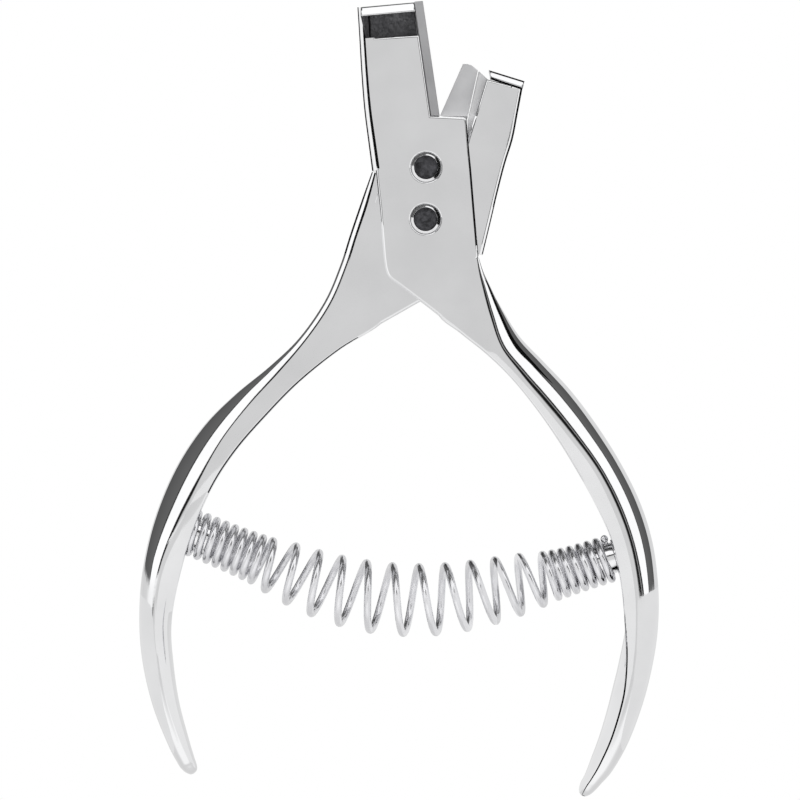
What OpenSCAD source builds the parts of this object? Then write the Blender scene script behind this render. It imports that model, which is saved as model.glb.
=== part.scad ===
// Notching plier of pressed sheet steel: two crossing channel-section arms on one pivot,
// a V-shaped cutter in one jaw, a slotted die plate on the other, and a barrel coil
// spring that holds the handles apart. All sizes in millimetres.
// Frame: origin on the pivot axis at the back face, X across the handles,
// Y towards the jaws, Z out of the back face towards the front face.

/* [Body] */
// Overall depth over both cheeks of the outer arm
depth = 15; // [13:0.5:18]
// Sheet thickness of the outer arm
sheet_o = 1.4; // [1:0.1:1.8]
// Sheet thickness of the inner arm
sheet_i = 1.3; // [1:0.1:1.8]
// Free space between the nested cheeks, taken up by a shim washer
nest_gap = 0.3; // [0.2:0.05:0.6]
// Bend radius of the fold along the die jaw
fold_r = 1.7; // [1.3:0.1:1.9]
// Bend radius of the fold along the cutter jaw
tight_r = 0.7; // [0.5:0.1:1.2]
// Largest corner radius of the rolled grips
grip_r = 5.6; // [5:0.1:6.2]

/* [Rivets] */
// Outer radius of the rivet sleeves
bush_r = 2.85; // [2.4:0.05:3.5]
// Radius of the dark rivet cores
pin_r = 2.3; // [1.5:0.05:2.8]
// Height of the sleeve rims above the front cheek
rim_h = 0.35; // [0.1:0.05:0.8]
// Distance of the upper rivet from the pivot
upper_y = 10.1; // [9:0.1:12]
// Running clearance of the inner arm on the pivot sleeve
run_c = 0.05; // [0.02:0.01:0.1]

/* [Cutter and die] */
// Radius of the cutter's lower apex about the pivot
v_r0 = 20.4; // [19:0.1:22]
// Radius of the cutter's upper end about the pivot
v_r1 = 31.35; // [28:0.05:32]
// Half width of the V at its open end
v_half = 4.3; // [3:0.1:4.4]
// Wall thickness of the V, measured across the depth
v_wall = 1.25; // [0.8:0.05:1.6]
// Clearance between cutter and die slot
v_clear = 0.3; // [0.2:0.05:0.6]
// Thickness of the die plate
die_t = 1.66; // [1:0.02:2.5]
// Lean of the die plate from the Y axis in degrees
die_lean = 8.35; // [5:0.05:12]

/* [Spring] */
// Wire diameter of the handle spring
wire_d = 1.45; // [1:0.05:2]
// Outside diameter of the closed end turns
coil_end_d = 9.4; // [8:0.1:11]
// Outside diameter of the barrel at mid length
coil_mid_d = 14.5; // [12:0.1:14.6]
// Closed turns at the left end
turns_left = 8; // [4:1:9]
// Closed turns at the right end
turns_right = 7; // [4:1:9]
// Open turns in the middle
turns_open = 11; // [8:1:14]

/* [Hidden] */
zm = depth / 2;
z_in0 = sheet_o + nest_gap;
z_in1 = depth - z_in0;
h_in = zm - z_in0;
snug = 0.02;
die_x = 2.63;
die_y = 20.95;
k_lean = tan(die_lean);
function die_face(y) = die_x - (y - die_y) * k_lean;
function die_back(y) = die_face(y) - die_t / cos(die_lean);

// ---------- curve helpers ----------
function cr(a, b, c, d, t) = 0.5 * (2 * b + (c - a) * t + (2 * a - 5 * b + 4 * c - d) * t * t
    + (3 * b - a - 3 * c + d) * t * t * t);
function spline(p, n) = [for (i = [0:len(p) - 2]) for (j = [0:n - 1])
    cr(p[max(i - 1, 0)], p[i], p[i + 1], p[min(i + 2, len(p) - 1)], j / n), p[len(p) - 1]];
function mixv(a, b, k) = a * (1 - k) + b * k;

// ---------- pressed channel section ----------
// A section runs from the front lip round the folded side to the back lip.
// w width, r corner radius, d corner depth, h half depth, k how far the lips are rolled shut,
// q where the closed seam sits (degrees from the inner side towards the front).
M = 5;
seam_gap = 2.5;
function fold_flat(r) = min(1, max(0.52, 0.52 + 0.16 * (r - 1.6)));
function sec_open(w, r, h, d) = let (rr = min(r, w * 0.88), dd = min(d, h * 0.98))
    concat([[w, h], [(w + rr) / 2, h]],
        [for (j = [0:M]) let (a = 90 * j / M) [rr - rr * sin(a), h - dd + dd * cos(a)]],
        [[0, 0]],
        [for (j = [M:-1:0]) let (a = 90 * j / M) [rr - rr * sin(a), -h + dd - dd * cos(a)]],
        [[(w + rr) / 2, -h], [w, -h]]);
function oval(w, h, a) = let (c = cos(a), s = sin(a))
    [w / 2 + w / 2 * sign(c) * pow(abs(c), 0.8), h * sign(s) * pow(abs(s), 0.8)];
function sec_shut(w, h, q) = let (n = M + 3, g = seam_gap)
    concat([for (j = [0:n - 1]) oval(w, h, q + g + (180 - q - g) * j / n)],
        [oval(w, h, 180)],
        [for (j = [1:n]) oval(w, h, 180 + (180 + q - g) * j / n)]);
// t is how far inside the outer skin this line of the section runs
function section(w, r, h, k, q, t) = let (d = max(r * fold_flat(r) - t, 0.05),
        a = sec_open(w - t, max(r - t, 0.05), h - t, d),
        b = sec_shut(w - 2 * t, h - t, q))
    [for (i = [0:len(a) - 1]) mixv(a[i], b[i], k) + [t, 0]];
function unit(v) = v / max(norm(v), 1e-9);
// Station: [outer x, outer y, inner x, inner y, r, h, k, q]
function ring(s, t) = let (o = [s[0], s[1]], e = [s[2], s[3]] - o, w = norm(e), u = e / w,
        h = min(s[5], zm), k = min(max(s[6], 0), 1),
        p = section(w, s[4], h, k, s[7], 0),
        m = section(w, s[4], h, k, s[7], min(t, 0.26 * w, 0.3 * h)), n = len(p))
    [for (i = [0:2 * n - 1]) let (c = i < n ? p[i] : m[2 * n - 1 - i])
        [o[0] + u[0] * c[0], o[1] + u[1] * c[0], zm + c[1]]];
module channel(stations, t, flip) {
    rings = [for (s = stations) ring(s, t)];
    m = len(rings[0]);
    n = len(rings);
    h = m / 2;
    pts = [for (r = rings) each r];
    side = [for (i = [0:n - 2]) for (j = [0:m - 1]) let (a = i * m + j, b = i * m + (j + 1) % m,
            c = b + m, d = a + m) each [[a, c, b], [a, d, c]]];
    cap0 = [for (j = [0:h - 2]) [j, j + 1, m - 2 - j, m - 1 - j]];
    e = (n - 1) * m;
    cap1 = [for (j = [0:h - 2]) [e + m - 1 - j, e + m - 2 - j, e + j + 1, e + j]];
    f = concat(side, cap0, cap1);
    polyhedron(pts, flip ? [for (q = f) [for (i = [len(q) - 1:-1:0]) q[i]]] : f);
}
module plate(p, z0, z1) {
    translate([0, 0, z0]) linear_extrude(height = z1 - z0) polygon(p);
}
module at_upper() { translate([0.1, upper_y, 0]) children(); }

// ---------- outer arm: die jaw on the left, handle on the right ----------
jaw_edge_o = spline([[-13.26, 41.25], [-12.9, 35.5], [-12.5, 28.5], [-11.95, 21.5],
    [-11.2, 15.5], [-10.4, 9.4]], 2);
function jaw_st_o(p, i) = let (d = unit(p[min(i + 1, len(p) - 1)] - p[max(i - 1, 0)]))
    [p[i][0], p[i][1], p[i][0] - d[1] * 3, p[i][1] + d[0] * 3,
        fold_r * (0.7 + 0.3 * i / (len(p) - 1)), zm, 0, 0];
grip_st_o = spline([
    [10.4, -7.5, 7.4, -8.4, 0.5, zm, 0, 0],
    [11.2, -10.0, 4.6, -12.6, 1.0, zm, 0, 0],
    [12.4, -12.6, 2.4, -18.2, 1.7, zm, 0, 0],
    [15.1, -17.8, 6.9, -22.2, 3.0, zm, 0, 0],
    [18.4, -22.9, 12.0, -26.3, 4.4, zm, 0, 0],
    [22.8, -27.5, 16.7, -30.9, 5.3, zm, 0.04, 20],
    [28.2, -33.2, 21.4, -36.7, 6.1, zm, 0.1, 20],
    [33.2, -39.8, 25.7, -42.9, 6.1, zm, 0.15, 20],
    [37.9, -47.2, 29.6, -49.3, grip_r, zm, 0.18, 22],
    [41.8, -55.0, 33.2, -55.9, 5.6, zm, 0.2, 25],
    [44.3, -63.0, 36.2, -62.8, 5.4, zm, 0.22, 29],
    [45.4, -71.5, 37.8, -71.0, 5.1, zm, 0.36, 38],
    [45.4, -79.0, 38.1, -78.2, 5.1, 7.4, 0.62, 52],
    [44.5, -86.0, 37.7, -84.6, 5.3, 7.1, 0.87, 66],
    [42.6, -93.9, 36.4, -91.9, 5.2, 6.7, 1, 78],
    [39.7, -101.8, 34.3, -99.6, 4.6, 6.0, 1, 82],
    [36.6, -107.4, 32.3, -105.2, 3.8, 5.0, 1, 82],
    [34.2, -110.2, 31.1, -108.3, 3.0, 4.0, 1, 82],
    [33.2, -111.3, 30.35, -109.7, 2.4, 3.3, 1, 82],
    [32.3, -112.1, 30.0, -110.9, 1.8, 2.6, 1, 82],
    [31.5, -112.5, 30.05, -111.8, 1.0, 1.7, 1, 82],
    [31.0, -112.6, 30.4, -112.3, 0.4, 0.7, 1, 82]], 2);
cheek_right_o = [[7.4, 19.8], [7.85, 19.55], [8.05, 18.9], [8.5, 13.5], [8.9, 9.65], [9.3, 4.8],
    [9.7, -0.1], [10.05, -4.0], [10.35, -7.3]];
cheek_low_o = concat([[9.0, -9.2], [9.6, -12.5], [11.6, -17.6], [11.4, -20.1], [6.95, -22.2],
    [6.75, -22.1]], spline([[6.4, -21.8], [0.9, -17.4], [-4.97, -12.95], [-6.9, -11.5],
    [-7.7, -10.0], [-8.1, -7.6], [-8.45, -3.5], [-8.85, 1.5], [-9.3, 5.8], [-9.62, 9.0]], 3));
function cheek_o(top) = concat(
    top ? [[-11.3, 41.3], [die_back(42.1) - 0.02, 42.1]]
        : [[-10.9, 35.25], [die_back(35.85) - 0.02, 35.85]],
    [[die_back(20.1) - 0.02, 20.1]], cheek_right_o, cheek_low_o,
    [[-8.4, 9.5], [-8.9, 13.0], [-9.7, 19.0], [-10.3, 26.0], [-10.8, 33.0]]);
// The front of the die jaw is open below its cap
window = [[-12.62, 43], [-12.62, 39.5], [-11.65, 35.2], [-8, 35.5], [-8, 43]];

module outer_arm() color([0.86, 0.87, 0.88]) difference() {
    union() {
        plate(cheek_o(true), 0, sheet_o);
        plate(cheek_o(false), depth - sheet_o, depth);
        channel([for (i = [0:len(jaw_edge_o) - 1]) jaw_st_o(jaw_edge_o, i)], sheet_o, false);
        channel(grip_st_o, sheet_o, true);
    }
    plate(window, sheet_o, depth + 1);
    translate([0, 0, -1]) cylinder(r = bush_r + snug, h = depth + 2, $fn = 64);
    at_upper() translate([0, 0, -1]) cylinder(r = bush_r + snug, h = depth + 2, $fn = 64);
}

// ---------- inner arm: cutter jaw on the right, handle on the left ----------
jaw_edge_i = spline([[18.85, 25.25], [17.95, 20.5], [17.0, 15.6], [15.5, 10.8], [13.95, 4.8],
    [12.8, -0.1], [11.15, -6.9]], 2);
function jaw_st_i(p, i) = let (d = unit(p[min(i + 1, len(p) - 1)] - p[max(i - 1, 0)]))
    [p[i][0], p[i][1], p[i][0] + d[1] * 3, p[i][1] - d[0] * 3, tight_r, h_in, 0, 0];
grip_st_i = spline([
    [-10.45, 9.2, -7.5, 8.7, 0.9, h_in, 0, 0],
    [-12.6, 3.2, -9.75, 2.2, 1.5, h_in, 0, 0],
    [-14.7, -3.0, -9.0, -5.5, 1.5, h_in, 0, 0],
    [-16.6, -8.9, -4.2, -14.6, 1.5, h_in, 0, 0],
    [-19.6, -15.9, -8.7, -20.35, 1.5, h_in, 0, 0],
    [-24.5, -23.0, -16.5, -25.2, 1.6, h_in + 0.2, 0, 0],
    [-30.3, -28.6, -24.5, -31.6, 2.4, h_in + 0.45, 0, 0],
    [-37.2, -34.2, -31.0, -38.2, 3.7, h_in + 0.7, 0, 0],
    [-43.4, -40.4, -37.0, -45.1, 4.8, h_in + 0.95, 0, 0],
    [-48.8, -48.6, -41.6, -52.2, grip_r, h_in + 1.2, 0.03, 0],
    [-52.9, -58.5, -45.3, -60.7, 5.5, h_in + 1.45, 0.12, 0],
    [-55.2, -68.5, -47.9, -69.6, 4.9, zm, 0.3, -8],
    [-55.85, -78.1, -49.45, -78.3, 5.0, zm, 0.6, -16],
    [-55.2, -86.5, -49.2, -86.2, 5.4, 7.2, 0.95, -20],
    [-53.2, -95.0, -48.1, -94.0, 5.0, 6.6, 1, -20],
    [-50.2, -102.6, -46.2, -101.3, 4.2, 5.6, 1, -20],
    [-48.3, -106.2, -45.1, -105.0, 3.4, 4.6, 1, -20],
    [-47.7, -107.1, -44.75, -106.0, 2.6, 3.9, 1, -20],
    [-47.0, -107.75, -44.55, -106.95, 2.0, 3.1, 1, -20],
    [-46.3, -108.15, -44.7, -107.6, 1.2, 2.1, 1, -20],
    [-45.8, -108.3, -45.2, -108.1, 0.4, 0.8, 1, -20]], 2);
cheek_i = concat([[11.85, 27.3], [16.9, 26.0], [16.6, 24.0], [15.0, 15.9], [13.5, 10.9],
    [12.0, 4.8], [10.9, -0.1], [9.9, -5.0], [9.0, -6.6]],
    spline([[8.6, -7.3], [7.0, -9.6], [4.2, -13.1], [-1.4, -16.2], [-5.1, -18.3],
    [-8.8, -20.4]], 3), [[-9.0, -20.2], [-17.0, -16.9], [-16.9, -15.8], [-14.4, -9.0],
    [-12.5, -3.2], [-10.4, 2.6], [-9.0, 6.6]],
    spline([[-8.4, 8.4], [-6.2, 8.9], [-4.3, 8.4], [-3.5, 7.0], [-2.1, 6.2], [0.2, 5.9],
    [2.6, 5.8], [4.8, 5.9], [6.1, 7.0], [6.9, 8.9], [7.4, 11.8], [7.65, 14.0], [8.1, 15.1]], 3));

module inner_arm() color([0.84, 0.85, 0.86]) difference() {
    union() {
        plate(cheek_i, z_in0, z_in0 + sheet_i);
        plate(cheek_i, z_in1 - sheet_i, z_in1);
        channel([for (i = [0:len(jaw_edge_i) - 1]) jaw_st_i(jaw_edge_i, i)], sheet_i, true);
        channel(grip_st_i, sheet_i, false);
    }
    translate([0, 0, -1]) cylinder(r = bush_r + run_c, h = depth + 2, $fn = 64);
}

// ---------- die ----------
module die_plate() color([0.6, 0.61, 0.62]) difference() {
    union() {
        plate([[die_back(42.35), 42.35], [die_back(20.12), 20.12], [die_face(20.12), 20.12],
            [die_face(42.5), 42.5]], 0.3, depth - 0.3);
        plate([[die_back(20.3), 20.3], [die_back(14.7), 14.7], [die_face(14.7) - 0.6, 14.7],
            [die_face(20.3) - 0.6, 20.3]], sheet_o + 0.1, depth - sheet_o - 0.1);
    }
    rotate([0, 0, 70]) rotate_extrude(angle = 35, $fn = 96) let (g = v_half / (v_r1 - v_r0),
        a = v_r0 - v_clear / sin(atan(g)), b = v_r1 + v_clear)
        polygon([[a, zm], [b, zm - (b - a) * g], [b, zm + (b - a) * g]]);
}
module die_jaw_cap() color([0.86, 0.87, 0.88])
    plate([[-12.58, 39.5], [die_back(40.45) - 0.05, 40.45], [die_back(42.25) - 0.05, 42.25],
        [-12.58, 41.3]], sheet_o + 0.02, depth);

// ---------- rivets, sleeves, shims ----------
module die_bush() color([0.8, 0.81, 0.82]) at_upper() rotate_extrude($fn = 64)
    polygon([[pin_r + snug, 0], [bush_r, 0], [bush_r, sheet_o + 0.02],
        [bush_r + 0.35, sheet_o + 0.02], [bush_r + 0.35, depth - sheet_o - 0.02],
        [bush_r, depth - sheet_o - 0.02], [bush_r, depth + rim_h - 0.15],
        [bush_r - 0.15, depth + rim_h], [pin_r + 0.12, depth + rim_h],
        [pin_r + snug, depth + rim_h - 0.12]]);
module pivot_bush() color([0.8, 0.81, 0.82]) rotate_extrude($fn = 64)
    polygon([[pin_r + snug, 0], [bush_r, 0], [bush_r, depth + rim_h - 0.15],
        [bush_r - 0.15, depth + rim_h], [pin_r + 0.12, depth + rim_h],
        [pin_r + snug, depth + rim_h - 0.12]]);
module core() {
    cylinder(r = pin_r, h = depth - 0.3, $fn = 64);
    translate([0, 0, depth - 0.3]) cylinder(r1 = pin_r, r2 = pin_r - 0.2, h = 0.2, $fn = 64);
}
module die_pin() color([0.25, 0.25, 0.27]) at_upper() core();
module pivot_pin() color([0.25, 0.25, 0.27]) core();
module tube(r0, r1, z0, z1) translate([0, 0, z0]) rotate_extrude($fn = 64)
    polygon([[r0, 0], [r1, 0], [r1, z1 - z0], [r0, z1 - z0]]);
module pivot_spacer() color([0.62, 0.63, 0.65])
    tube(bush_r + run_c, bush_r + 1.7, z_in0 + sheet_i + 0.02, z_in1 - sheet_i - 0.02);
module shim_front() color([0.7, 0.66, 0.5])
    tube(bush_r + snug, 5.4, depth - sheet_o - nest_gap + 0.04, depth - sheet_o);
module shim_back() color([0.7, 0.66, 0.5])
    tube(bush_r + snug, 5.4, sheet_o, sheet_o + nest_gap - 0.04);

// ---------- cutter ----------
module v_blade() color([0.68, 0.69, 0.71]) intersection() {
    rotate([0, 0, 50]) rotate_extrude(angle = 40, $fn = 96) let (g = v_half / (v_r1 - v_r0),
        i0 = v_r0 + v_wall / g)
        polygon([[v_r0, zm], [v_r1, zm - v_half], [v_r1, zm - v_half + v_wall], [i0, zm],
            [v_r1, zm + v_half - v_wall], [v_r1, zm + v_half]]);
    plate([[7.3, 30.3], [2.1, 18.6], [8.1, 16.7], [8.1, 19.4], [10.2, 29.05], [8.7, 30.25]],
        0, depth);
}
module blade_block() color([0.55, 0.56, 0.58])
    plate([[10.35, 28.95], [12.2, 27.2], [14.75, 26.0], [17.2, 24.9], [16.4, 20.0], [15.5, 15.6],
        [14.9, 13.6], [8.25, 15.2], [8.25, 19.4]], z_in0 + sheet_i + 0.02, z_in1 - sheet_i - 0.02);
module blade_jaw_cap() color([0.86, 0.87, 0.88])
    plate([[12.35, 29.1], [12.65, 27.5], [18.9, 25.45], [19.35, 26.9]], z_in0 - 0.1, z_in1 + 0.1);

// ---------- handle spring ----------
p_left = [-45.75, -60.95];
p_right = [36.1, -66.1];
axis_pts = spline([p_left, [-38.1, -64.1], [-31.5, -66.8], [-27.2, -68.6], [-21.7, -70.8],
    [-16.1, -72.5], [-10, -73.7], [-4.6, -74.2], [0.9, -74.2], [6.3, -73.7], [11.4, -72.8],
    [16.5, -71.6], [21.2, -70.4], [27.6, -68.7], p_right], 4);
ax_len = [for (i = 0, s = 0; i < len(axis_pts); i = i + 1,
    s = s + (i < len(axis_pts) ? norm(axis_pts[i] - axis_pts[i - 1]) : 0)) s];
ax_total = ax_len[len(ax_len) - 1];
function ax_seg(s, i) = (i >= len(ax_len) - 2 || ax_len[i + 1] > s) ? i : ax_seg(s, i + 1);
function ax_at(s) = let (i = ax_seg(s, 0), t = (s - ax_len[i]) / (ax_len[i + 1] - ax_len[i]))
    mixv(axis_pts[i], axis_pts[i + 1], t);
turns = turns_left + turns_right + turns_open;
len_l = 15.4;
len_r = 12.6;
// Distance along the axis after n turns
function coil_s(n) = n < turns_left ? len_l * n / turns_left
    : n > turns - turns_right ? ax_total - len_r * (turns - n) / turns_right
    : let (t = (n - turns_left) / turns_open, e = 0.12 * sin(360 * t) / 6.283)
        len_l + (ax_total - len_l - len_r) * (t - e);
function coil_r(n) = let (e = (coil_end_d - wire_d) / 2, m = (coil_mid_d - wire_d) / 2,
        t = (n - turns_left) / turns_open)
    t < 0 ? e + 0.5 * pow(max(0, n / turns_left), 3)
    : t > 1 ? e + 0.5 * pow(max(0, (turns - n) / turns_right), 3)
    : e + 0.5 + (m - e - 0.5) * pow(sin(180 * t), 0.75);
module handle_spring() color([0.78, 0.79, 0.8]) {
    k = 14;
    g = 6;
    n = turns * k;
    c = [for (i = [0:n]) let (q = i / k, s = coil_s(q), a = ax_at(s),
            d = unit(ax_at(min(s + 0.4, ax_total)) - ax_at(max(s - 0.4, 0))), r = coil_r(q),
            u = [-d[1], d[0]], f = 360 * q)
        [a[0] + u[0] * r * cos(f), a[1] + u[1] * r * cos(f), zm + r * sin(f)]];
    pts = [for (i = [0:n]) let (q = i / k, s = coil_s(q), a = ax_at(s),
            o = [c[i][0] - a[0], c[i][1] - a[1], c[i][2] - zm], e1 = unit(o),
            v = unit(c[min(i + 1, n)] - c[max(i - 1, 0)]), e2 = cross(v, e1))
        for (j = [0:g - 1]) c[i] + wire_d / 2 * (e1 * cos(360 * j / g) + e2 * sin(360 * j / g))];
    side = [for (i = [0:n - 1]) for (j = [0:g - 1]) let (a = i * g + j, b = i * g + (j + 1) % g,
            d = a + g, e = b + g) each [[a, e, b], [a, d, e]]];
    polyhedron(pts, concat(side, [[for (j = [0:g - 1]) j]], [[for (j = [g - 1:-1:0]) n * g + j]]));
}
// Seat stud: base in the channel, collar under the last turn, nose inside the spring
module peg(p, dir, base, collar) translate([p[0], p[1], zm]) rotate([0, 0, dir]) rotate([0, 90, 0])
    rotate_extrude($fn = 48) polygon([[0, -base], [2.6, -base], [3.0, -base + 0.6], [3.0, -1.2 - collar],
        [3.6, -1.0 - collar], [3.6, -1.0], [3.4, -0.8], [3.0, -0.8], [3.0, 3.6], [2.2, 5.2], [0, 5.6]]);
module spring_peg_left() color([0.7, 0.71, 0.73]) peg(p_left, -22, 6.6, 1.9);
module spring_peg_right() color([0.7, 0.71, 0.73]) peg(p_right, 180 + 15, 7.6, 0.5);

outer_arm();
inner_arm();
die_plate();
die_jaw_cap();
die_bush();
die_pin();
pivot_bush();
pivot_pin();
pivot_spacer();
shim_front();
shim_back();
v_blade();
blade_block();
blade_jaw_cap();
handle_spring();
spring_peg_left();
spring_peg_right();
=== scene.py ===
"""Looks of the notching plier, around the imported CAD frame. Lengths are in millimetres."""

import bmesh
import bpy
import numpy as np
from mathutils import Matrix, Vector


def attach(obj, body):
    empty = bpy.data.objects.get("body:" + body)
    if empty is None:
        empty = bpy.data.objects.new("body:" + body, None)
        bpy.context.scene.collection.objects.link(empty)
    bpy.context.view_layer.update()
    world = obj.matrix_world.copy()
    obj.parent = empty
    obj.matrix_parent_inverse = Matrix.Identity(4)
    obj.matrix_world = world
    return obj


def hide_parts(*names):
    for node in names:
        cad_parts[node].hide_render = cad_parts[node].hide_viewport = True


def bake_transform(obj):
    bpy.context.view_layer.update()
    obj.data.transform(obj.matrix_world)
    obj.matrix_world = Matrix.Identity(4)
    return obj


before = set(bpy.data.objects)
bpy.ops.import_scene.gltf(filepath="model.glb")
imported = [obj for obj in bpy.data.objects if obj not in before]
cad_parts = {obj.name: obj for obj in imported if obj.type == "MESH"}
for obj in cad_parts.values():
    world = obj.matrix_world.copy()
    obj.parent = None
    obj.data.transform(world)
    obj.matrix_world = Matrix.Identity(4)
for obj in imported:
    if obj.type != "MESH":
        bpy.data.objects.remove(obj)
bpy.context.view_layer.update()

MM = 0.001
DEPTH = 15.0
MID = DEPTH / 2
SHEET_O = 1.4  # sheet of the outer arm
SHEET_I = 1.3  # sheet of the inner arm
NEST_GAP = 0.3  # between the nested cheeks
IN_LOW = SHEET_O + NEST_GAP
IN_HIGH = DEPTH - IN_LOW
IN_HALF = MID - IN_LOW
FOLD_R = 1.7  # fold of the left jaw
TIGHT_R = 0.7  # fold of the right jaw
GRIP_R = 5.6  # widest fold of the grips
BUSH_R = 2.85
PIN_R = 2.3
RIM = 0.35  # how far the rivets stand above the cheek
RUN_GAP = 0.05  # running clearance on the pivot
SNUG = 0.02  # clearance of pieces that don't move on each other
UPPER = (0.1, 10.1)
PIVOT = (0.0, 0.0)
EDGE = 0.5  # rounding of the sheet's cut edges
SEAM_EDGE = 0.12  # the same where the grip is rolled shut
CORNER_STEPS = 16
CREASE = 12.0  # degrees by which a fold misses the flat lip beside it
SEAM_GAP = 2.5  # degrees from the middle of the seam to each side, as in the CAD
RING_STEPS = 7  # rings between two stations of a grip


# ---------- meshes ----------
def new_object(name, verts, faces):
    mesh = bpy.data.meshes.new(name)
    mesh.from_pydata([tuple(c * MM for c in v) for v in verts], [], faces)
    mesh.validate()
    obj = bpy.data.objects.new(name, mesh)
    bpy.context.scene.collection.objects.link(obj)
    return obj


def outward(obj):
    """Turns every face outward."""
    bm = bmesh.new()
    bm.from_mesh(obj.data)
    bmesh.ops.remove_doubles(bm, verts=bm.verts, dist=1e-7)
    bmesh.ops.recalc_face_normals(bm, faces=bm.faces)
    bm.to_mesh(obj.data)
    bm.free()
    return obj


def apply_modifiers(obj):
    bpy.context.view_layer.objects.active = obj
    for modifier in list(obj.modifiers):
        bpy.ops.object.modifier_apply(modifier=modifier.name)
    return obj


def join_solids(name, solids, holes=()):
    """One closed mesh from overlapping solids, with the holes cut out."""
    base = solids[0]
    base.name = base.data.name = name
    for other, how in [(s, "UNION") for s in solids[1:]] + [(h, "DIFFERENCE") for h in holes]:
        modifier = base.modifiers.new("cut", "BOOLEAN")
        modifier.operation = how
        modifier.solver = "EXACT"
        modifier.object = other
        apply_modifiers(base)
    for other in list(solids[1:]) + list(holes):
        bpy.data.objects.remove(other)
    return base


def finish_shading(obj, angle=38):
    """Smooth faces, sharp edges past the angle, and normals weighted by face area."""
    mesh = obj.data
    mesh.shade_smooth()
    mesh.set_sharp_from_angle(angle=np.radians(angle))
    modifier = obj.modifiers.new("normals", "WEIGHTED_NORMAL")
    modifier.keep_sharp = True
    modifier.weight = 100
    return apply_modifiers(obj)


def spline(points, n):
    """Points along a smooth curve that passes through all the given ones, n to a span."""
    p = np.array(points, float)
    out = []
    for i in range(len(p) - 1):
        a, b = p[max(i - 1, 0)], p[i]
        c, d = p[i + 1], p[min(i + 2, len(p) - 1)]
        for t in np.arange(n) / n:
            out.append(0.5 * (2 * b + (c - a) * t + (2 * a - 5 * b + 4 * c - d) * t ** 2
                              + (3 * b - a - 3 * c + d) * t ** 3))
    return np.array(out + [p[-1]])


def directions(p):
    """Unit direction of the path at each point."""
    d = np.array([p[min(i + 1, len(p) - 1)] - p[max(i - 1, 0)] for i in range(len(p))])
    return d / np.maximum(np.linalg.norm(d, axis=1, keepdims=True), 1e-9)


# ---------- pressed channel section ----------
def section_open(w, r, h, depth):
    """A channel whose rounded corners meet the flat lips at a slight crease."""
    r, depth = min(r, w * 0.88), min(depth, h * 0.98)
    a = np.radians(np.linspace(CREASE, 90, CORNER_STEPS + 1))
    across = (1 - np.sin(a)) / (1 - np.sin(a[0]))
    drop = 1 - np.cos(a) / np.cos(a[0])
    lip = [(w, h), (w - 0.5 * (w - r), h)]
    front = [(r * u, h - depth * z) for u, z in zip(across, drop)]
    back = [(u, -z) for u, z in front[::-1]]
    return np.array(lip + front + [(0, 0)] + back + [(u, -z) for u, z in lip[::-1]])


def oval(w, h, degrees):
    c, s = np.cos(np.radians(degrees)), np.sin(np.radians(degrees))
    return (w / 2 + w / 2 * np.sign(c) * abs(c) ** 0.8, h * np.sign(s) * abs(s) ** 0.8)


def section_shut(w, h, seam):
    n = CORNER_STEPS + 3
    front = [oval(w, h, seam + SEAM_GAP + (180 - seam - SEAM_GAP) * j / n) for j in range(n)]
    back = [oval(w, h, 180 + (180 + seam - SEAM_GAP) * j / n) for j in range(1, n + 1)]
    return np.array(front + [oval(w, h, 180)] + back)


def section(w, r, h, shut, seam, inside):
    """One line of the bent sheet's section, this far inside its outer skin."""
    flatness = min(1, max(0.52, 0.52 + 0.16 * (r - 1.6)))
    depth = max(r * flatness - inside, 0.05)
    bent = section_open(w - inside, max(r - inside, 0.05), h - inside, depth)
    rolled = section_shut(w - 2 * inside, h - inside, seam)
    return bent * (1 - shut) + rolled * shut + np.array([inside, 0])


def rounded(loop, corners, e):
    """The loop with the corners of these indices rounded off."""
    out = []
    for i, c in enumerate(loop):
        if i not in corners:
            out.append(c)
            continue
        a, b = loop[i - 1], loop[(i + 1) % len(loop)]
        s = c + (a - c) * min(0.48, e / max(np.linalg.norm(a - c), 1e-9))
        t = c + (b - c) * min(0.48, e / max(np.linalg.norm(b - c), 1e-9))
        out += [s * (1 - k) ** 2 + c * 2 * k * (1 - k) + t * k ** 2
                for k in (0, 0.2, 0.4, 0.6, 0.8, 1)]
    return np.array(out)


def section_ring(station, sheet):
    """The closed outline of the bent sheet at one station, in the frame."""
    ox, oy, ix, iy, r, h, shut, seam = station
    outer = np.array([ox, oy])
    along = np.array([ix, iy]) - outer
    w = np.linalg.norm(along)
    along = along / w
    h, shut = min(h, MID), min(max(shut, 0), 1)
    t = min(sheet, 0.26 * w, 0.3 * h)
    skin = section(w, r, h, shut, seam, 0)
    lining = section(w, r, h, shut, seam, t)
    n = len(skin)
    edge = EDGE * (1 - shut) + SEAM_EDGE * shut
    loop = rounded(np.concatenate([skin, lining[::-1]]), (0, n - 1, n, 2 * n - 1),
                   min(edge, 0.4 * t))
    return [(outer[0] + along[0] * u, outer[1] + along[1] * u, MID + z) for u, z in loop]


def channel(name, stations, sheet):
    rings = [section_ring(s, sheet) for s in stations]
    m, n = len(rings[0]), len(rings)
    faces = [(i * m + j, i * m + (j + 1) % m, (i + 1) * m + (j + 1) % m, (i + 1) * m + j)
             for i in range(n - 1) for j in range(m)]
    for start in (0, (n - 1) * m):
        faces += [(start + j, start + j + 1, start + m - 1 - (j + 1), start + m - 1 - j)
                  for j in range(m // 2 - 1)]
    return outward(new_object(name, [v for r in rings for v in r], faces))


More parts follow.
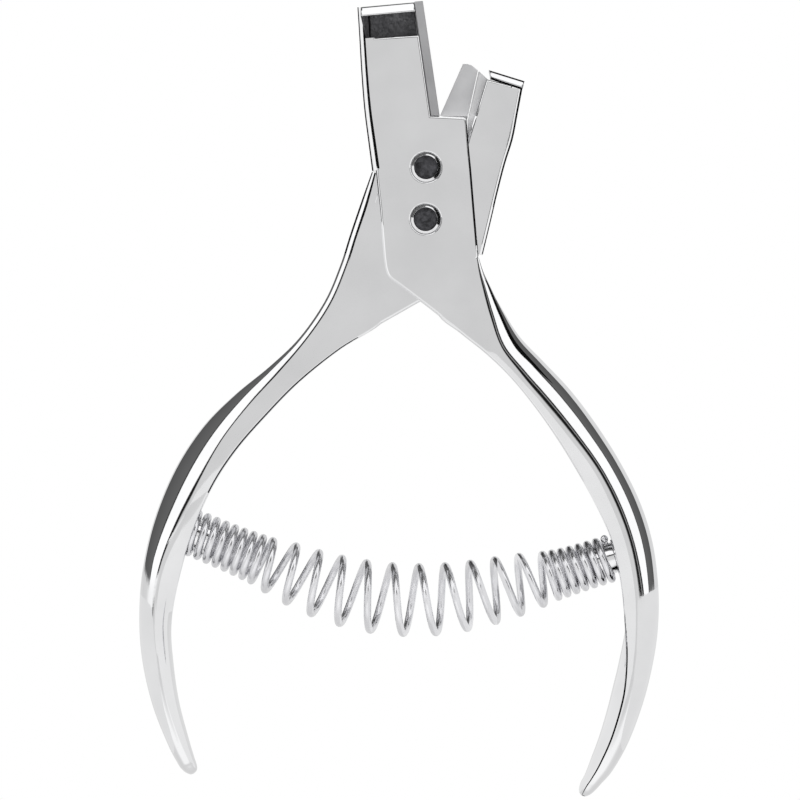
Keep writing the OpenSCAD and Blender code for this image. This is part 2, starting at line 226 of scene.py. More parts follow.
def offset_outline(outline, e):
    """The closed outline moved inward by e, for an outline that runs clockwise or not."""
    p = np.array(outline, float)
    area = np.sum(p[:, 0] * np.roll(p[:, 1], -1) - np.roll(p[:, 0], -1) * p[:, 1])
    before = p - np.roll(p, 1, 0)
    after = np.roll(p, -1, 0) - p
    before /= np.linalg.norm(before, axis=1, keepdims=True)
    after /= np.linalg.norm(after, axis=1, keepdims=True)
    side = np.sign(area)
    n1 = side * np.stack([-before[:, 1], before[:, 0]], 1)
    n2 = side * np.stack([-after[:, 1], after[:, 0]], 1)
    both = n1 + n2
    both /= np.maximum(np.linalg.norm(both, axis=1, keepdims=True), 1e-9)
    reach = np.minimum(1 / np.maximum(np.sum(both * n1, 1), 0.3), 2.5)
    return p + both * (e * reach)[:, None]


def plate(name, outline, z0, z1, edge=EDGE):
    """A flat plate with softly rounded edges."""
    arc = np.radians(np.linspace(0, 90, 6))
    low = [(edge * (1 - np.sin(a)), z0 + edge * (1 - np.cos(a))) for a in arc]
    steps = low + [(e, z0 + z1 - z) for e, z in low[::-1]]
    n = len(outline)
    verts = [(x, y, z) for e, z in steps for x, y in offset_outline(outline, e)]
    faces = [(i * n + j, i * n + (j + 1) % n, (i + 1) * n + (j + 1) % n, (i + 1) * n + j)
             for i in range(len(steps) - 1) for j in range(n)]
    last = (len(steps) - 1) * n
    faces += [tuple(range(n))[::-1], tuple(last + j for j in range(n))]
    return outward(new_object(name, verts, faces))


def lathe(name, profile, centre, steps=96, matrix=None):
    """A turned piece: the closed profile of (radius, height) round a vertical axis."""
    n = len(profile)
    verts, faces = [], []
    for i in range(steps):
        a = 2 * np.pi * i / steps
        verts += [(r * np.cos(a), r * np.sin(a), z) for r, z in profile]
        k = (i + 1) % steps
        faces += [(i * n + j, k * n + j, k * n + (j + 1) % n, i * n + (j + 1) % n)
                  for j in range(n)]
    if matrix is not None:
        verts = [tuple(matrix @ np.array(v)) for v in verts]
    verts = [(x + centre[0], y + centre[1], z + (centre[2] if len(centre) > 2 else 0))
             for x, y, z in verts]
    return outward(new_object(name, verts, faces))


def bored(name, centre, r, top=None, sink=0.42):
    """A cutter for a bore, with a rounded countersink where top is given."""
    profile = [(0, -2), (r, -2)]
    if top is None:
        profile += [(r, DEPTH + 2)]
    else:
        profile += [(r + sink * (1 - np.cos(a)), top - sink * (1 - np.sin(a)))
                    for a in np.radians(np.linspace(0, 90, 7))]
        profile += [(r + sink, DEPTH + 2)]
    return lathe(name, profile + [(0, DEPTH + 2)], centre, 96)


# ---------- outlines shared with the CAD model ----------
DIE_X, DIE_Y = 2.63, 20.95
DIE_T = 1.66
LEAN = np.tan(np.radians(8.35))


def die_face(y):
    return DIE_X - (y - DIE_Y) * LEAN


def die_back(y):
    return die_face(y) - DIE_T / np.cos(np.arctan(LEAN))


JAW_OUTER = [(-13.26, 41.25), (-12.9, 35.5), (-12.5, 28.5), (-11.95, 21.5), (-11.2, 15.5),
             (-10.4, 9.4)]
GRIP_OUTER = [
    (10.4, -7.5, 7.4, -8.4, 0.5, MID, 0, 0),
    (11.2, -10.0, 4.6, -12.6, 1.0, MID, 0, 0),
    (12.4, -12.6, 2.4, -18.2, 1.7, MID, 0, 0),
    (15.1, -17.8, 6.9, -22.2, 3.0, MID, 0, 0),
    (18.4, -22.9, 12.0, -26.3, 4.4, MID, 0, 0),
    (22.8, -27.5, 16.7, -30.9, 5.3, MID, 0.04, 20),
    (28.2, -33.2, 21.4, -36.7, 6.1, MID, 0.1, 20),
    (33.2, -39.8, 25.7, -42.9, 6.1, MID, 0.15, 20),
    (37.9, -47.2, 29.6, -49.3, GRIP_R, MID, 0.18, 22),
    (41.8, -55.0, 33.2, -55.9, 5.6, MID, 0.2, 25),
    (44.3, -63.0, 36.2, -62.8, 5.4, MID, 0.22, 29),
    (45.4, -71.5, 37.8, -71.0, 5.1, MID, 0.36, 38),
    (45.4, -79.0, 38.1, -78.2, 5.1, 7.4, 0.62, 52),
    (44.5, -86.0, 37.7, -84.6, 5.3, 7.1, 0.87, 66),
    (42.6, -93.9, 36.4, -91.9, 5.2, 6.7, 1, 78),
    (39.7, -101.8, 34.3, -99.6, 4.6, 6.0, 1, 82),
    (36.6, -107.4, 32.3, -105.2, 3.8, 5.0, 1, 82),
    (34.2, -110.2, 31.1, -108.3, 3.0, 4.0, 1, 82),
    (33.2, -111.3, 30.35, -109.7, 2.4, 3.3, 1, 82),
    (32.3, -112.1, 30.0, -110.9, 1.8, 2.6, 1, 82),
    (31.5, -112.5, 30.05, -111.8, 1.0, 1.7, 1, 82),
    (31.0, -112.6, 30.4, -112.3, 0.4, 0.7, 1, 82)]
CHEEK_RIGHT = [(7.4, 19.8), (7.85, 19.55), (8.05, 18.9), (8.5, 13.5), (8.9, 9.65), (9.3, 4.8),
               (9.7, -0.1), (10.05, -4.0), (10.35, -7.3)]
CHEEK_LOW = [(9.0, -9.2), (9.6, -12.5), (11.6, -17.6), (11.4, -20.1), (6.85, -22.15)]
CHEEK_LEFT = [(6.4, -21.8), (0.9, -17.4), (-4.97, -12.95), (-6.9, -11.5), (-7.7, -10.0),
              (-8.1, -7.6), (-8.45, -3.5), (-8.85, 1.5), (-9.3, 5.8), (-9.62, 9.0)]
CHEEK_FOLD = [(-9.66, 9.9), (-8.8, 10.6), (-8.9, 13.0), (-9.7, 19.0), (-10.3, 26.0), (-10.8, 33.0)]
WINDOW = [(-12.62, 43), (-12.62, 39.5), (-11.65, 35.2), (-8, 35.5), (-8, 43)]
JAW_INNER = [(18.85, 25.25), (17.95, 20.5), (17.0, 15.6), (15.5, 10.8), (13.95, 4.8),
             (12.8, -0.1), (11.15, -6.9)]
GRIP_INNER = [
    (-10.45, 9.2, -7.5, 8.7, 0.9, IN_HALF, 0, 0),
    (-12.6, 3.2, -9.75, 2.2, 1.5, IN_HALF, 0, 0),
    (-14.7, -3.0, -9.0, -5.5, 1.5, IN_HALF, 0, 0),
    (-16.6, -8.9, -4.2, -14.6, 1.5, IN_HALF, 0, 0),
    (-19.6, -15.9, -8.7, -20.35, 1.5, IN_HALF, 0, 0),
    (-24.5, -23.0, -16.5, -25.2, 1.6, IN_HALF + 0.2, 0, 0),
    (-30.3, -28.6, -24.5, -31.6, 2.4, IN_HALF + 0.45, 0, 0),
    (-37.2, -34.2, -31.0, -38.2, 3.7, IN_HALF + 0.7, 0, 0),
    (-43.4, -40.4, -37.0, -45.1, 4.8, IN_HALF + 0.95, 0, 0),
    (-48.8, -48.6, -41.6, -52.2, GRIP_R, IN_HALF + 1.2, 0.03, 0),
    (-52.9, -58.5, -45.3, -60.7, 5.5, IN_HALF + 1.45, 0.12, 0),
    (-55.2, -68.5, -47.9, -69.6, 4.9, MID, 0.3, -8),
    (-55.85, -78.1, -49.45, -78.3, 5.0, MID, 0.6, -16),
    (-55.2, -86.5, -49.2, -86.2, 5.4, 7.2, 0.95, -20),
    (-53.2, -95.0, -48.1, -94.0, 5.0, 6.6, 1, -20),
    (-50.2, -102.6, -46.2, -101.3, 4.2, 5.6, 1, -20),
    (-48.3, -106.2, -45.1, -105.0, 3.4, 4.6, 1, -20),
    (-47.7, -107.1, -44.75, -106.0, 2.6, 3.9, 1, -20),
    (-47.0, -107.75, -44.55, -106.95, 2.0, 3.1, 1, -20),
    (-46.3, -108.15, -44.7, -107.6, 1.2, 2.1, 1, -20),
    (-45.8, -108.3, -45.2, -108.1, 0.4, 0.8, 1, -20)]
CHEEK_JAW = [(11.85, 27.3), (16.9, 26.0), (16.6, 24.0), (15.0, 15.9), (13.5, 10.9),
             (12.0, 4.8), (10.9, -0.1), (9.9, -5.0), (9.0, -6.6)]
CHEEK_NECK = [(8.6, -7.3), (7.0, -9.6), (4.2, -13.1), (-1.4, -16.2), (-5.1, -18.3),
              (-8.8, -20.4)]
CHEEK_BACK = [(-9.0, -20.2), (-17.0, -16.9), (-16.9, -15.8), (-14.4, -9.0), (-12.5, -3.2),
              (-10.4, 2.6), (-9.0, 6.6)]
CHEEK_TOP = [(-8.4, 8.4), (-6.2, 8.9), (-4.3, 8.4), (-3.5, 7.0), (-2.1, 6.2), (0.2, 5.9),
             (2.6, 5.8), (4.8, 5.9), (6.1, 7.0), (6.9, 8.9), (7.4, 11.8), (7.65, 14.0),
             (8.1, 15.1)]


def jaw_stations(edge, side, tip_r, r, h):
    """Stations of a plain fold along an edge. side is +1 where the sheet lies to its left."""
    path = spline(edge, 4)
    normal = directions(path)[:, ::-1] * np.array([-side, side]) * 3
    radii = np.linspace(tip_r, r, len(path))
    return [(x, y, x + a, y + b, f, h, 0, 0) for (x, y), (a, b), f in zip(path, normal, radii)]


def cheek_outer(tall):
    top = [(-11.3, 41.3), (die_back(42.1) - 0.02, 42.1)]
    if not tall:
        top = [(-10.9, 35.25), (die_back(35.85) - 0.02, 35.85)]
    low = [tuple(p) for p in spline(CHEEK_LEFT, 5)]
    return top + [(die_back(20.1) - 0.02, 20.1)] + CHEEK_RIGHT + CHEEK_LOW + low + CHEEK_FOLD


def cheek_inner():
    neck = [tuple(p) for p in spline(CHEEK_NECK, 5)]
    relief = [tuple(p) for p in spline(CHEEK_TOP, 5)]
    return CHEEK_JAW + neck + CHEEK_BACK + relief


# ---------- materials ----------
def material(name):
    m = bpy.data.materials.new(name)
    m.use_nodes = True
    tree = m.node_tree
    return m, tree, tree.nodes["Principled BSDF"]


def add(tree, kind, **values):
    """A node with its properties and its sockets' constants set."""
    node = tree.nodes.new(kind)
    for key, value in values.items():
        if hasattr(node, key):
            setattr(node, key, value)
        else:
            node.inputs[key.replace("_", " ")].default_value = value
    return node


def ramp(tree, source, stops, mode="LINEAR"):
    node = add(tree, "ShaderNodeValToRGB")
    node.color_ramp.interpolation = mode
    elements = node.color_ramp.elements
    while len(elements) < len(stops):
        elements.new(0.5)
    for element, (place, value) in zip(elements, stops):
        element.position = place
        element.color = (*value, 1) if isinstance(value, tuple) else (value, value, value, 1)
    tree.links.new(source, node.inputs[0])
    return node.outputs[0]


def stretched(tree, stretch, turn=0.0):
    """Object coordinates in metres, stretched along the axes."""
    coordinates = add(tree, "ShaderNodeTexCoord")
    mapping = add(tree, "ShaderNodeMapping")
    mapping.inputs["Rotation"].default_value[2] = turn
    mapping.inputs["Scale"].default_value = stretch
    tree.links.new(coordinates.outputs["Object"], mapping.inputs[0])
    return mapping.outputs[0]


def noise(tree, vector, scale, detail=3.0, rough=0.55):
    node = add(tree, "ShaderNodeTexNoise", Scale=scale, Detail=detail, Roughness=rough)
    tree.links.new(vector, node.inputs["Vector"])
    return node.outputs["Fac"]


def bump(tree, height, distance, strength=1.0, below=None):
    node = add(tree, "ShaderNodeBump", Distance=distance, Strength=strength)
    tree.links.new(height, node.inputs["Height"])
    if below is not None:
        tree.links.new(below, node.inputs["Normal"])
    return node.outputs[0]


def metal(name, light, dark, rough, wave=0.00001, grain=0.000002, lines=None, turn=0.0,
          metallic=1.0):
    """Metal with slight waves, fine grain, cloudy tone and, where lines is set, drawn lines."""
    m, tree, shader = material(name)
    plain = stretched(tree, (1, 1, 1))
    cloud = noise(tree, plain, 90.0)
    shader.inputs["Metallic"].default_value = metallic
    tree.links.new(ramp(tree, cloud, [(0.3, dark), (0.7, light)]), shader.inputs["Base Color"])
    low, high = rough
    fine = noise(tree, stretched(tree, lines or (1, 1, 1), turn), 2600.0, 2.0)
    tree.links.new(ramp(tree, fine, [(0.3, low), (0.75, high)]), shader.inputs["Roughness"])
    waves = bump(tree, noise(tree, plain, 160.0, 1.0), wave)
    tree.links.new(bump(tree, fine, grain, 1.0, waves), shader.inputs["Normal"])
    return m


def chrome_material():
    return metal("chrome_plate", (0.93, 0.932, 0.94), (0.87, 0.872, 0.88), (0.03, 0.07),
                 0.00002, 0.0000012)


# Darker, rougher metal that paints shade inside the head and the left jaw.
def shaded_inside_material():
    return metal("painted_shade_inside", (0.3, 0.3, 0.31), (0.12, 0.12, 0.13), (0.35, 0.6),
                 0.00003, 0.00001)


# Near-black metal that paints shade into the right grip's seam and dark reflections onto rounded
# edges.
def painted_shade_lines_material():
    return metal("painted_shade_and_reflection", (0.05, 0.05, 0.055), (0.015, 0.015, 0.015), (0.4, 0.6))


def tool_material(name, light, dark, turn, metallic):
    return metal(name, light, dark, (0.3, 0.5), 0.00001, 0.000006, (0.06, 1.0, 1.0), turn,
                 metallic)


def core_material():
    m, tree, shader = material("dark_core")
    plain = stretched(tree, (1, 1, 1))
    cloud = noise(tree, plain, 900.0, 4.0)
    shader.inputs["Metallic"].default_value = 0.7
    tree.links.new(ramp(tree, cloud, [(0.35, (0.03, 0.03, 0.033)), (0.65, (0.11, 0.11, 0.12))]),
                   shader.inputs["Base Color"])
    tree.links.new(ramp(tree, cloud, [(0.3, 0.35), (0.7, 0.6)]), shader.inputs["Roughness"])
    tree.links.new(bump(tree, cloud, 0.00008), shader.inputs["Normal"])
    return m


CHROME = chrome_material()
PAINTED_SHADE_INSIDE = shaded_inside_material()
PAINTED_SHADE_LINES = painted_shade_lines_material()
TOOL = tool_material("tool_steel", (0.56, 0.56, 0.57), (0.42, 0.42, 0.43), 1.43, 1.0)
BLOCK = tool_material("block_steel", (0.76, 0.76, 0.77), (0.64, 0.64, 0.65), 1.16, 0.2)
GROUND = tool_material("ground_steel", (0.68, 0.68, 0.69), (0.5, 0.5, 0.51), 0.4, 0.2)
SLEEVE = metal("sleeve_steel", (0.95, 0.95, 0.96), (0.88, 0.88, 0.89), (0.08, 0.16))
WIRE = metal("spring_wire", (0.9, 0.9, 0.92), (0.78, 0.78, 0.8), (0.16, 0.28),
             0.00001, 0.000002)
CORE = core_material()
BRASS = metal("shim_brass", (0.72, 0.55, 0.28), (0.6, 0.44, 0.2), (0.2, 0.35))


def give(obj, body, slot, *materials):
    obj.data.materials.clear()
    for m in materials:
        obj.data.materials.append(m)
    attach(obj, body)


# ---------- arms ----------
# Painted shade: below this height the right grip's inside and the walls of its seam get the
# near-black material.
SEAM_PAINTED_SHADE_BELOW = -96  # the right grip's inside and seam are dark from here to its end
GRIP_MIDDLES = [Vector(((s[0] + s[2]) / 2, (s[1] + s[3]) / 2, MID)) for s in GRIP_OUTER]
# Painted reflection: along this stretch the left grip's inner lip edge is coloured near-black.
LIP_PAINTED_REFLECTION = (-53, -23)  # stretch of the left grip whose inner lip edge is dark


def in_seam(c, n):
    """Whether a face of the right grip's end is on its inside or beside its seam, where shade is
    painted.
    """
    inward = min((m - c for m in GRIP_MIDDLES), key=lambda v: v.xy.length)
    return inward.length > 0 and n.dot(inward.normalized()) > -0.2


def in_shaded_jaw_inside(c, n):
    """Whether a face is on the inside of the head and the left jaw, where shade is painted."""
    floor_face = abs(c.z - SHEET_O) < 0.1 and n.z > 0.9
    tip_face = c.y > 33 and 0.4 < c.z < 4 and n.z > 0.4
    wall_face = 0.4 < c.z < DEPTH - 0.1 and n.x > 0.7 and -12.7 < c.x < -8
    return c.y > -20 and (floor_face or tip_face or wall_face)


def on_painted_lip_line(c, n):
    """Whether a face is on the rounded front edge of the left grip's inner lip, where a dark
    reflection is painted.
    """
    return (LIP_PAINTED_REFLECTION[0] < c.y < LIP_PAINTED_REFLECTION[1] and c.z > MID and 0.3 < n.z < 0.95
            and n.x > 0.15 and n.y < 0)


def outer_arm():
    parts = [plate("front", cheek_outer(False), DEPTH - SHEET_O, DEPTH),
             plate("back", cheek_outer(True), 0, SHEET_O),
             channel("jaw", jaw_stations(JAW_OUTER, 1, 0.7 * FOLD_R, FOLD_R, MID), SHEET_O),
             channel("grip", spline(GRIP_OUTER, RING_STEPS), SHEET_O)]
    holes = [bored("bore_pivot", PIVOT, BUSH_R + SNUG, DEPTH),
             bored("bore_upper", UPPER, BUSH_R + SNUG, DEPTH),
             plate("window", WINDOW, SHEET_O, DEPTH + 1, 0.01)]
    arm = join_solids("arm_outer", parts, holes)
    finish_shading(arm)
    give(arm, "outer_arm", "chrome_plate", CHROME, PAINTED_SHADE_INSIDE, PAINTED_SHADE_LINES)
    for face in arm.data.polygons:
        c = face.center / MM
        # painted shade inside the rolled grip's end and along its seam
        if c.y < SEAM_PAINTED_SHADE_BELOW and in_seam(c, face.normal):
            face.material_index = 2
        elif in_shaded_jaw_inside(c, face.normal):
            # painted shade inside the head and the left jaw
            face.material_index = 1
    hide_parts("outer_arm")


def inner_arm():
    parts = [plate("front", cheek_inner(), IN_HIGH - SHEET_I, IN_HIGH),
             plate("back", cheek_inner(), IN_LOW, IN_LOW + SHEET_I),
             channel("jaw", jaw_stations(JAW_INNER, -1, TIGHT_R, TIGHT_R, IN_HALF), SHEET_I),
             channel("grip", spline(GRIP_INNER, RING_STEPS), SHEET_I)]
    arm = join_solids("arm_inner", parts, [bored("bore", PIVOT, BUSH_R + RUN_GAP)])
    finish_shading(arm)
    give(arm, "inner_arm", "chrome_plate", CHROME, PAINTED_SHADE_LINES)
    for face in arm.data.polygons:
        # painted reflection: a dark line along the left grip's inner lip
        if on_painted_lip_line(face.center / MM, face.normal):
            face.material_index = 1
    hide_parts("inner_arm")


# ---------- flat pieces, bevelled from the CAD nodes ----------
def bevelled(node, body, slot, m, width=0.12):
    """A copy of the CAD node with its edges broken."""
    obj = bpy.data.objects.new(node + "_edged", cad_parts[node].data.copy())
    bpy.context.scene.collection.objects.link(obj)
    obj.data.materials.clear()
    bm = bmesh.new()
    bm.from_mesh(obj.data)
    bmesh.ops.remove_doubles(bm, verts=bm.verts, dist=1e-7)
    bmesh.ops.dissolve_limit(bm, angle_limit=0.02, verts=bm.verts, edges=bm.edges)
    bm.to_mesh(obj.data)
    bm.free()
    modifier = obj.modifiers.new("edges", "BEVEL")
    modifier.width = width * MM
    modifier.segments = 3
    modifier.limit_method = "ANGLE"
    modifier.angle_limit = np.radians(35)
    apply_modifiers(obj)
    finish_shading(obj)
    give(obj, body, slot, m)
    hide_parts(node)


DIE_CAP = [(-12.58, 39.5), (die_back(40.45) - 0.05, 40.45), (die_back(42.25) - 0.05, 42.25),
           (-12.58, 41.3)]
BLADE_CAP = [(12.35, 29.1), (12.65, 27.5), (18.9, 25.45), (19.35, 26.9)]


def jaw_cap(name, node, body, outline, z0, z1, edge, fall, painted_rim_lines):
    """The bent tab that closes a jaw's tip. Its front falls away towards the tip."""
    obj = plate(name, outline, z0, z1, edge)
    low = min(y for x, y in outline)
    for v in obj.data.vertices:
        if v.co.z > (z0 + z1) / 2 * MM:
            v.co.z -= fall * (v.co.y - low * MM)
    finish_shading(obj, 50)
    give(obj, body, "chrome_plate", CHROME, PAINTED_SHADE_LINES)
    for face in obj.data.polygons:
        n = face.normal
        # Painted reflection: where asked, the rim facing the jaw and the upper rounding get the
        # near-black material.
        if painted_rim_lines and (n.y < -0.3 or (n.y > 0.6 and n.z < 0.85)):
            face.material_index = 1
    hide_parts(node)


# ---------- turned pieces ----------
def sleeve(name, centre, node, flanged):
    top, inside = DEPTH + RIM, PIN_R + SNUG
    profile = [(inside, 0), (BUSH_R, 0)]
    if flanged:
        wide = BUSH_R + 0.35
        profile += [(BUSH_R, SHEET_O + SNUG), (wide, SHEET_O + SNUG),
                    (wide, DEPTH - SHEET_O - SNUG), (BUSH_R, DEPTH - SHEET_O - SNUG)]
    rise = (BUSH_R - inside) * np.tan(np.radians(25))
    crown = [(BUSH_R, top - rise - 0.05), (BUSH_R - 0.04, top - rise),
             (inside + 0.06, top - 0.02), (inside + 0.03, top), (inside, top - 0.03)]
    obj = lathe(name, profile + crown, centre)
    finish_shading(obj)
    give(obj, "outer_arm", "sleeve_steel", SLEEVE)
    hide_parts(node)


def rivet_core(name, centre, node):
    top = DEPTH - 0.1
    profile = [(0, 0), (PIN_R - 0.15, 0), (PIN_R, 0.15), (PIN_R, top - 0.25)]
    profile += [(r, top - 0.22 * (r / PIN_R) ** 4) for r in np.linspace(PIN_R - 0.05, 0.3, 9)]
    obj = lathe(name, profile + [(0, top)], centre)
    finish_shading(obj)
    give(obj, "outer_arm", "dark_core", CORE)
    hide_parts(node)


def washer(name, node, r0, r1, z0, z1, body, slot, m):
    e = min(0.1, (z1 - z0) * 0.3)
    profile = [(r0, z0 + e), (r0 + e, z0), (r1 - e, z0), (r1, z0 + e),
               (r1, z1 - e), (r1 - e, z1), (r0 + e, z1), (r0, z1 - e)]
    obj = lathe(name, profile, PIVOT)
    finish_shading(obj)
    give(obj, body, slot, m)
    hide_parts(node)


# ---------- spring and its seats ----------
WIRE_D = 1.45
COIL_END, COIL_MID = 9.4, 14.5
TURNS_LEFT, TURNS_RIGHT, OPEN = 8, 7, 11
TURNS = TURNS_LEFT + TURNS_RIGHT + OPEN
CLOSED_L, CLOSED_R = 15.4, 12.6
AXIS = [(-45.75, -60.95), (-38.1, -64.1), (-31.5, -66.8), (-27.2, -68.6), (-21.7, -70.8),
        (-16.1, -72.5), (-10, -73.7), (-4.6, -74.2), (0.9, -74.2), (6.3, -73.7),
        (11.4, -72.8), (16.5, -71.6), (21.2, -70.4), (27.6, -68.7), (36.1, -66.1)]


def coil_place(turn, total):
    """How far along the axis the wire is after so many turns."""
    if turn < TURNS_LEFT:
        return CLOSED_L * turn / TURNS_LEFT
    if turn > TURNS - TURNS_RIGHT:
        return total - CLOSED_R * (TURNS - turn) / TURNS_RIGHT
    t = (turn - TURNS_LEFT) / OPEN
    ease = 0.12 * np.sin(2 * np.pi * t) / 6.283
    return CLOSED_L + (total - CLOSED_L - CLOSED_R) * (t - ease)


def coil_radius(turn):
    end, middle = (COIL_END - WIRE_D) / 2, (COIL_MID - WIRE_D) / 2
    t = (turn - TURNS_LEFT) / OPEN
    if t < 0:
        return end + 0.5 * max(0.0, turn / TURNS_LEFT) ** 3
    if t > 1:
        return end + 0.5 * max(0.0, (TURNS - turn) / TURNS_RIGHT) ** 3
    return end + 0.5 + (middle - end - 0.5) * np.sin(np.pi * t) ** 0.75


def tube_along(name, centre, radius, sides):
    """A round wire along the points, with domed ends."""
    p = np.array(centre)
    d = directions(p)
    side = np.cross(d[0], (0, 0, 1.0))
    rings = []
    for i in range(len(p)):
        side = side - d[i] * np.dot(side, d[i])
        side /= np.linalg.norm(side)
        up = np.cross(d[i], side)
        rings.append([p[i] + radius * (side * np.cos(a) + up * np.sin(a))
                      for a in 2 * np.pi * np.arange(sides) / sides])
    rings.insert(0, [p[0] - d[0] * 0.2 * radius + 0.7 * (v - p[0]) for v in rings[0]])
    rings.append([p[-1] + d[-1] * 0.2 * radius + 0.7 * (v - p[-1]) for v in rings[-1]])
    n = len(rings)
    faces = [(i * sides + j, i * sides + (j + 1) % sides, (i + 1) * sides + (j + 1) % sides,
              (i + 1) * sides + j) for i in range(n - 1) for j in range(sides)]
    faces += [tuple(range(sides)), tuple((n - 1) * sides + j for j in range(sides))]
    return outward(new_object(name, [tuple(v) for r in rings for v in r], faces))


def handle_spring():
    axis = spline(AXIS, 8)
    steps = np.concatenate([[0], np.cumsum(np.linalg.norm(np.diff(axis, axis=0), axis=1))])
    total = steps[-1]

    def at(s):
        return np.array([np.interp(s, steps, axis[:, 0]), np.interp(s, steps, axis[:, 1])])

    centre = []
    for turn in np.arange(0, TURNS + 1e-6, 1 / 40):
        s, r, f = coil_place(turn, total), coil_radius(turn), 2 * np.pi * turn
        d = at(min(s + 0.4, total)) - at(max(s - 0.4, 0))
        d /= np.linalg.norm(d)
        x, y = at(s) + np.array([-d[1], d[0]]) * r * np.cos(f)
        centre.append((x, y, MID + r * np.sin(f)))
    obj = tube_along("spring_wire_coil", centre, WIRE_D / 2, 16)
    finish_shading(obj, 60)
    obj.data.materials.append(WIRE)
    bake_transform(obj)
    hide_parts("handle_spring")


def seat_peg(name, node, body, place, degrees, base, collar):
    """Stud in the channel, with a collar under the last turn and a nose inside the spring."""
    nose = [(3.0 * np.cos(a), 3.4 + 2.2 * np.sin(a)) for a in np.radians(np.arange(0, 91, 10))]
    profile = [(0, -base), (2.6, -base), (3.0, 0.6 - base), (3.0, -1.2 - collar),
               (3.45, -1.15 - collar), (3.6, -1.0 - collar), (3.6, -0.95), (3.45, -0.8),
               (3.0, -0.8)] + nose
    a = np.radians(degrees)
    turn = np.array([[0, -np.sin(a), np.cos(a)], [0, np.cos(a), np.sin(a)], [-1, 0, 0]])
    obj = lathe(name, profile, (*place, MID), 64, turn)
    finish_shading(obj)
    give(obj, body, "sleeve_steel", SLEEVE)
    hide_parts(node)


outer_arm()
inner_arm()
bevelled("die_plate", "outer_arm", "tool_steel", TOOL)
jaw_cap("cap_die_jaw", "die_jaw_cap", "outer_arm", DIE_CAP, SHEET_O + 0.02, DEPTH, 0.3, 0.45,
        False)
bevelled("v_blade", "inner_arm", "ground_steel", GROUND, 0.06)
bevelled("blade_block", "inner_arm", "tool_steel", BLOCK, 0.3)
jaw_cap("cap_blade_jaw", "blade_jaw_cap", "inner_arm", BLADE_CAP, IN_LOW - 0.1, IN_HIGH + 0.1,
        0.45, 0.45, True)
sleeve("upper_sleeve", UPPER, "die_bush", True)
sleeve("pivot_sleeve", PIVOT, "pivot_bush", False)
rivet_core("upper_core", UPPER, "die_pin")
rivet_core("pivot_core", PIVOT, "pivot_pin")
washer("spacer_tube", "pivot_spacer", BUSH_R + RUN_GAP, BUSH_R + 1.7, IN_LOW + SHEET_I + 0.02,
       IN_HIGH - SHEET_I - 0.02, "inner_arm", "sleeve_steel", SLEEVE)
washer("shim_upper", "shim_front", BUSH_R + 0.02, 5.4, DEPTH - SHEET_O - NEST_GAP + 0.04,
       DEPTH - SHEET_O, "outer_arm", "shim_brass", BRASS)
washer("shim_lower", "shim_back", BUSH_R + 0.02, 5.4, SHEET_O, SHEET_O + NEST_GAP - 0.04,
       "outer_arm", "shim_brass", BRASS)
handle_spring()
seat_peg("seat_left", "spring_peg_left", "inner_arm", AXIS[0], -22, 6.6, 1.9)
seat_peg("seat_right", "spring_peg_right", "outer_arm", AXIS[-1], 195, 7.6, 0.5)


# ---------- studio ----------
def floor():
    """A plain white table top, which the plating doesn't mirror."""
    half = 3.0
    mesh = bpy.data.meshes.new("floor")
    mesh.from_pydata([(-half, -half, 0), (half, -half, 0), (half, half, 0), (-half, half, 0)],
                     [], [(0, 1, 2, 3)])
    obj = bpy.data.objects.new("floor", mesh)
    obj.location.z = -0.0002
    bpy.context.scene.collection.objects.link(obj)
    m = bpy.data.materials.new("floor_white")
    m.use_nodes = True
    tree = m.node_tree
    tree.nodes.clear()
    glow = add(tree, "ShaderNodeEmission", Color=(1, 1, 1, 1), Strength=1.0)
    out = add(tree, "ShaderNodeOutputMaterial")
    tree.links.new(glow.outputs[0], out.inputs[0])
    mesh.materials.append(m)
    obj.visible_glossy = False


